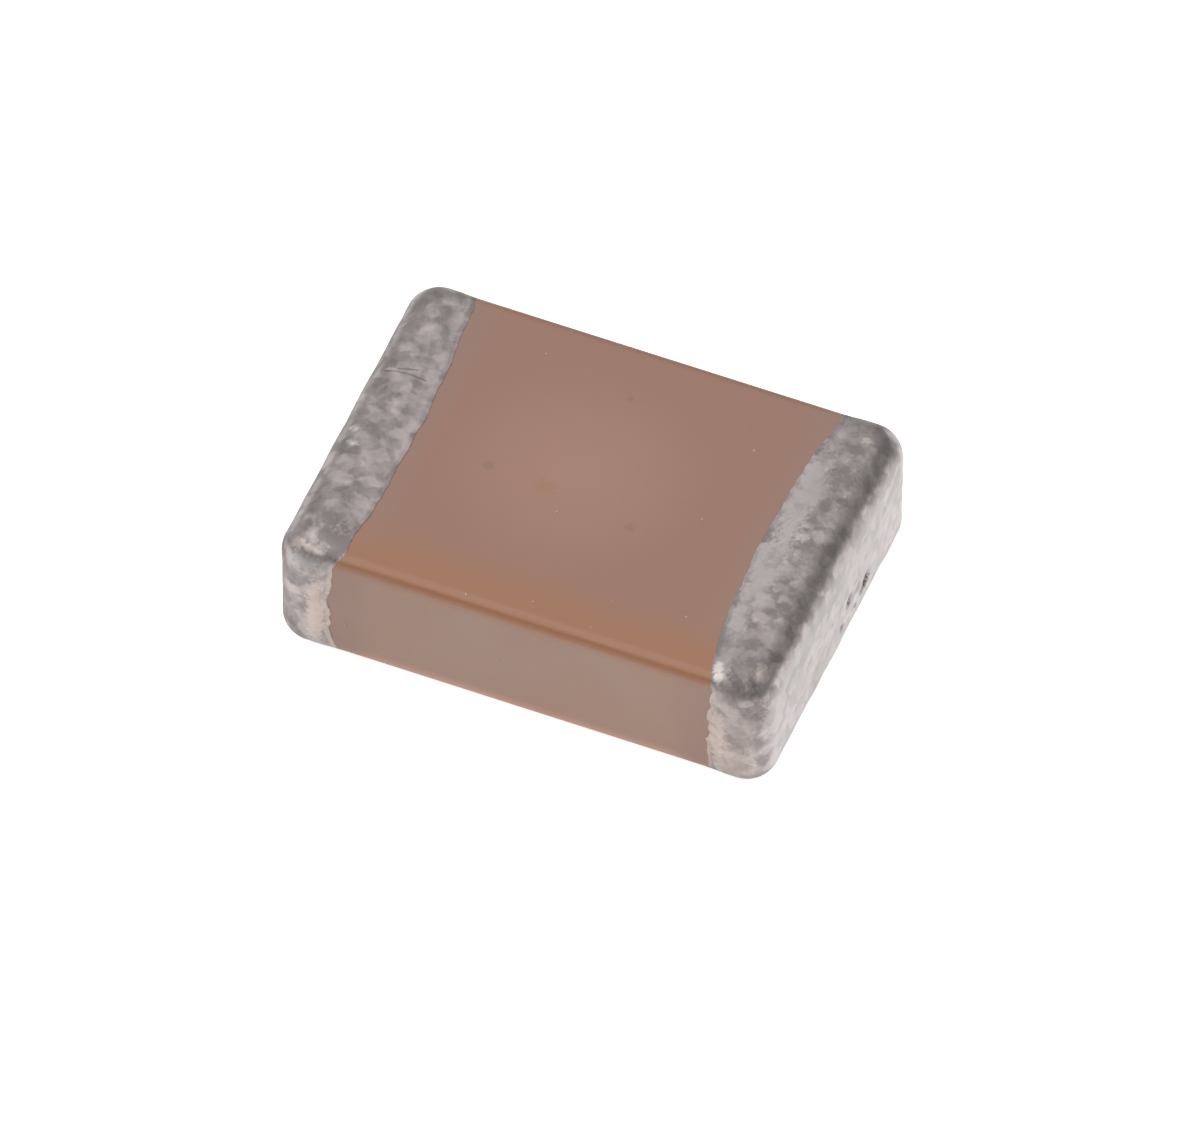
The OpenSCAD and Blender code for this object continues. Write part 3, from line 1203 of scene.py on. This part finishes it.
def tin_material(tin):
    """Matte tin plate: dull and cleaner patches, pale blobs, pits, scratches and streaks on the end faces;
    painted shade on the right end edge, the front upper edges and in the lumps' hollows, painted highlights
    on the side rims and a painted glint, and end faces painted paler, lighter towards the bottom.
    """
    material, tree, shader, place = new_material("Dull tin plate")
    axes = split(tree, place)
    from_rim = add_node(tree, "ShaderNodeAttribute", attribute_name="from_rim").outputs["Fac"]
    plates = tin_plates(tree, place)
    grain = mottle(tree, place, *TIN_GRAIN)
    wander = wandering(tree, place, TIN_WANDER)
    masks = {
        "right edge": ramp(tree, axes["X"], *RIGHT_EDGE_SHADE_SPAN),
        "beside rim": ramp(tree, from_rim, *BESIDE_RIM_SPAN),
        "lumps": add_node(tree, "ShaderNodeAttribute", attribute_name="lumps").outputs["Fac"],
        "plates": plates,
        "clouds": mottle(tree, place, *TIN_CLOUDS),
        "flecks": mottle(tree, place, *TIN_FLECKS),
        "grain": grain,
    }
    # This level carries painted shade and painted light as well as the dull and cleaner patches
    clean_and_lit = 0.0
    for name, share in CLEAN_AND_SHADE_SHARES.items():
        clean_and_lit = plus(tree, clean_and_lit, times(tree, masks[name], share))
    on_side = ramp(tree, maths(tree, "ABSOLUTE", axes["Y"]), *SIDE_SPAN)
    # Darker tin just short of the rim, on the top and bottom only
    thin = times(tree, minus(tree, ramp(tree, from_rim, *NEAR_RIM_SPAN), on_side, clamp=True), NEAR_RIM_DARKENING)
    clean_and_lit = minus(tree, clean_and_lit, plus(tree, thin, CLEAN_LOSS))
    for centre, size, strength in DULL_AND_SHADED_BLOTS:
        mask = blot(tree, place, wander, centre, size, *DULL_EDGES)
        clean_and_lit = minus(tree, clean_and_lit, times(tree, mask, strength))

    # The end faces are paler and evenly streaked along the width; the paleness and the brightening towards
    # the bottom are painted light
    on_end = ramp(tree, maths(tree, "ABSOLUTE", axes["X"]), *END_SPAN)
    streaks = mottle(tree, vectors(tree, "MULTIPLY", place, STREAK_DRAW), *STREAKS)
    streaked = plus(tree, times(tree, streaks, STREAK_SHARE), times(tree, plates, END_PLATE_SHARE))
    streaked = plus(tree, streaked, ramp(tree, axes["Z"], *END_LIGHT_FADE))
    clean_and_lit = plus(tree, clean_and_lit, times(tree, on_end, minus(tree, streaked, clean_and_lit)))
    paint = mixed(tree, clean_and_lit, opaque(tin.dark_colour), opaque(tin.light_colour))
    paint = tinted(tree, paint, on_end, END_PAINTED_LIGHT, tin.pale_and_end_light_colour)

    # Painted highlight: the rims on the sides are pale cream, where their edges would catch the floor's light
    cream = times(tree, on_side, ramp(tree, from_rim, *RIM_HIGHLIGHT_SPAN))
    paint = tinted(tree, paint, cream, RIM_HIGHLIGHT_STRENGTH, tin.cream_and_highlight_colour)

    def lay(paint, name, raggedness, core, blots):
        """The paint with a layer of blots of one colour over it."""
        for centre, size, strength in blots:
            mask = blot(tree, place, wander, centre, size, raggedness, core)
            paint = tinted(tree, paint, mask, strength, getattr(tin, name))
        return paint

    for layer in BLOT_LAYERS:
        paint = lay(paint, *layer)
    pits = 0.0
    for centre, size, strength in END_PITS:
        mask = times(tree, blot(tree, place, wander, centre, size, *PIT_EDGES), strength)
        pits = maths(tree, "MAXIMUM", pits, mask)
    paint = tinted(tree, paint, pits, 1.0, tin.pit_and_shade_colour)
    paint = lay(paint, *FLAKE_LAYER)
    for ends in SCRATCHES:
        paint = tinted(tree, paint, scratch_mask(tree, place, ends), SCRATCH_STRENGTH, tin.pit_and_shade_colour)
    tree.links.new(paint, shader.inputs["Base Color"])
    roughest, smoothest = tin.roughness + TIN_ROUGHNESS_SPREAD, tin.roughness - TIN_ROUGHNESS_SPREAD
    rough = ramp(tree, plates, 0.0, 1.0, roughest, smoothest)
    rough = plus(tree, rough, times(tree, pits, PIT_ROUGHNESS))
    tree.links.new(rough, shader.inputs["Roughness"])
    tree.links.new(bumped(tree, grain, TIN_BUMP), shader.inputs["Normal"])
    shader.inputs["Metallic"].default_value = 1.0
    return material


# Stage

class CAPACITOR_OT_stage(bpy.types.Operator):
    """Make the floor, the lamp, the sky and the camera"""

    bl_idname = "capacitor.stage"
    bl_label = "Stage"

    def execute(self, context):
        stage = context.scene.chip_capacitor.stage
        make_floor(stage)
        make_lamp(stage)
        make_sky(context.scene)
        make_camera(context.scene, stage)
        context.scene.view_settings.view_transform = "Standard"
        return {"FINISHED"}


# Where the lit table's glow begins and is full, in front of the chip, on its right and on its left
FRONT_GLOW_SPAN = (-1.0 * MM, -1.7 * MM)
FRONT_FADE_SPAN = (-2.4 * MM, -4.0 * MM)
RIGHT_GLOW_SPAN = (2.0 * MM, 2.4 * MM)
LEFT_GLOW_SPAN = (-3.0 * MM, -5.0 * MM)
# Grey of the table under its glow
FLOOR_GREY = 0.8


def make_floor(stage):
    """A plain white lit table, with a glow in front of the chip and on both sides for the tin to mirror."""
    half = stage.floor_size / 2
    corners = [(-half, -half, 0), (half, -half, 0), (half, half, 0), (-half, half, 0)]
    mesh = bpy.data.meshes.new("floor")
    mesh.from_pydata(corners, [], [(0, 1, 2, 3)])
    floor = new_piece("floor", mesh)
    material, tree, shader, place = new_material("White table")
    shader.inputs["Base Color"].default_value = opaque([FLOOR_GREY] * 3)
    shader.inputs["Roughness"].default_value = 1.0
    shader.inputs["Specular IOR Level"].default_value = 0.0
    shader.inputs["Emission Color"].default_value = (1.0, 1.0, 1.0, 1.0)
    axes = split(tree, place)
    front = ramp(tree, axes["Y"], *FRONT_GLOW_SPAN, 0.0, stage.front_glow)
    front = times(tree, front, ramp(tree, axes["Y"], *FRONT_FADE_SPAN, 1.0, 0.0))
    right = ramp(tree, axes["X"], *RIGHT_GLOW_SPAN, 0.0, stage.right_glow)
    left = ramp(tree, axes["X"], *LEFT_GLOW_SPAN, 0.0, stage.left_glow)
    seen = tree.nodes.new("ShaderNodeLightPath").outputs["Is Camera Ray"]
    glow = maths(tree, "MAXIMUM", front, maths(tree, "MAXIMUM", left, right))
    glow = maths(tree, "MAXIMUM", glow, times(tree, seen, stage.floor_white))
    tree.links.new(glow, shader.inputs["Emission Strength"])
    mesh.materials.append(material)


def make_lamp(stage):
    """A square softbox above the chip."""
    light = bpy.data.lights.new("overhead_lamp", "AREA")
    light.shape = "SQUARE"
    light.size = stage.lamp_size
    light.energy = stage.lamp_radiance * math.pi * stage.lamp_size**2
    lamp = bpy.data.objects.new("overhead_lamp", light)
    lamp.location = stage.lamp_place
    bpy.context.scene.collection.objects.link(lamp)


# Brightness of the sky from the horizon to straight up, as (sine of the height, brightness)
BACK_SKY = ((0.0, 0.30), (0.2, 0.36), (0.42, 0.60), (0.6, 0.69), (1.0, 0.76))
FRONT_SKY = ((0.0, 0.28), (0.5, 0.38), (0.72, 0.65), (0.85, 0.75), (1.0, 0.76))
# The sky keeps this brightness on the left, down to a share of it at the horizon, and dims on the right
LEFT_LEVEL = 0.7
LEFT_HORIZON = 0.62
RIGHT_DIM = 0.6
# Where these changes start and are full, as sines: towards the front, the left, up on the left, the right
FRONT_SPAN = (-0.1, -0.5)
LEFT_SPAN = (-0.35, -0.6)
LEFT_RISE = (0.1, 0.4)
RIGHT_SPAN = (0.1, 0.5)


def sky_steps(tree, height, steps):
    """Brightness of the sky at a height, by a colour ramp."""
    made = add_node(tree, "ShaderNodeValToRGB", {"Fac": height})
    band = made.color_ramp.elements
    while len(band) < len(steps):
        band.new(0.5)
    for element, (place, level) in zip(band, steps):
        element.position = place
        element.color = (level, level, level, 1.0)
    return made.outputs["Color"]


def make_sky(scene):
    """A soft studio sky: darker towards the horizon and on the right, and white to the camera."""
    world = bpy.data.worlds.new("studio")
    scene.world = world
    world.use_nodes = True
    tree = world.node_tree
    background = tree.nodes["Background"]
    way = tree.nodes.new("ShaderNodeTexCoord").outputs["Generated"]
    way = split(tree, way)
    ahead = ramp(tree, way["Y"], *FRONT_SPAN)
    level = mixed(tree, ahead, sky_steps(tree, way["Z"], BACK_SKY), sky_steps(tree, way["Z"], FRONT_SKY))
    left = ramp(tree, way["X"], *LEFT_SPAN, 0.0, LEFT_LEVEL)
    left = times(tree, left, ramp(tree, way["Z"], *LEFT_RISE, LEFT_HORIZON, 1.0))
    level = maths(tree, "MAXIMUM", level, left)
    level = times(tree, level, ramp(tree, way["X"], *RIGHT_SPAN, 1.0, RIGHT_DIM))
    seen = tree.nodes.new("ShaderNodeLightPath").outputs["Is Camera Ray"]
    tree.links.new(maths(tree, "MAXIMUM", level, seen), background.inputs["Strength"])
    background.inputs["Color"].default_value = (1.0, 1.0, 1.0, 1.0)


# Width of the camera's sensor in its own millimetres, and how many times nearer and farther it sees
SENSOR_WIDTH = 36
CLIP_RANGE = 10


def make_camera(scene, stage):
    """A long lens at the photograph's angle and framing."""
    turn, lift = stage.azimuth, stage.elevation
    back = Vector((math.sin(turn) * math.cos(lift), -math.cos(turn) * math.cos(lift), math.sin(lift)))
    right = Vector((math.cos(turn), math.sin(turn), 0))
    up = back.cross(right)
    pixel = MM / PIXELS_PER_MM
    aside = (PHOTO_WIDTH / 2 - CENTRE_PIXEL[0]) * pixel
    below = (PHOTO_HEIGHT / 2 - CENTRE_PIXEL[1]) * pixel
    data = bpy.data.cameras.new("camera")
    data.sensor_width = SENSOR_WIDTH
    data.lens = SENSOR_WIDTH * stage.distance / (PHOTO_WIDTH * pixel)
    data.clip_start = stage.distance / CLIP_RANGE
    data.clip_end = stage.distance * CLIP_RANGE
    camera = bpy.data.objects.new("camera", data)
    camera.location = CHIP_CENTRE + right * aside - up * below + back * stage.distance
    camera.rotation_mode = "QUATERNION"
    camera.rotation_quaternion = (-back).to_track_quat("-Z", "Y")
    scene.collection.objects.link(camera)
    scene.camera = camera


# Add-on

OPERATORS = (
    CAPACITOR_OT_ceramic_body,
    CAPACITOR_OT_dust_grains,
    CAPACITOR_OT_terminations,
    CAPACITOR_OT_stage,
)


class CAPACITOR_PT_panel(bpy.types.Panel):
    """Lists the settings and makers of the chip capacitor"""

    bl_idname = "CAPACITOR_PT_panel"
    bl_label = "Chip Capacitor"
    bl_space_type = "VIEW_3D"
    bl_region_type = "UI"
    bl_category = "Capacitor"

    def draw(self, context):
        settings = context.scene.chip_capacitor
        for operator in OPERATORS:
            self.layout.operator(operator.bl_idname)
        for group in (settings.ceramic, settings.tin, settings.stage):
            box = self.layout.box()
            for name in group.__annotations__:
                box.prop(group, name)


CLASSES = (CeramicSettings, TinSettings, StageSettings, CapacitorSettings, *OPERATORS, CAPACITOR_PT_panel)


def register():
    """Adds the classes and the scene's settings."""
    for each in CLASSES:
        bpy.utils.register_class(each)
    bpy.types.Scene.chip_capacitor = PointerProperty(type=CapacitorSettings)


def unregister():
    """Takes the settings and the classes away again."""
    del bpy.types.Scene.chip_capacitor
    for each in reversed(CLASSES):
        bpy.utils.unregister_class(each)


def main():
    """Builds the chip and its stage."""
    register()
    bpy.ops.capacitor.ceramic_body()
    bpy.ops.capacitor.dust_grains()
    bpy.ops.capacitor.terminations()
    bpy.ops.capacitor.stage()


if __name__ == "__main__":
    main()
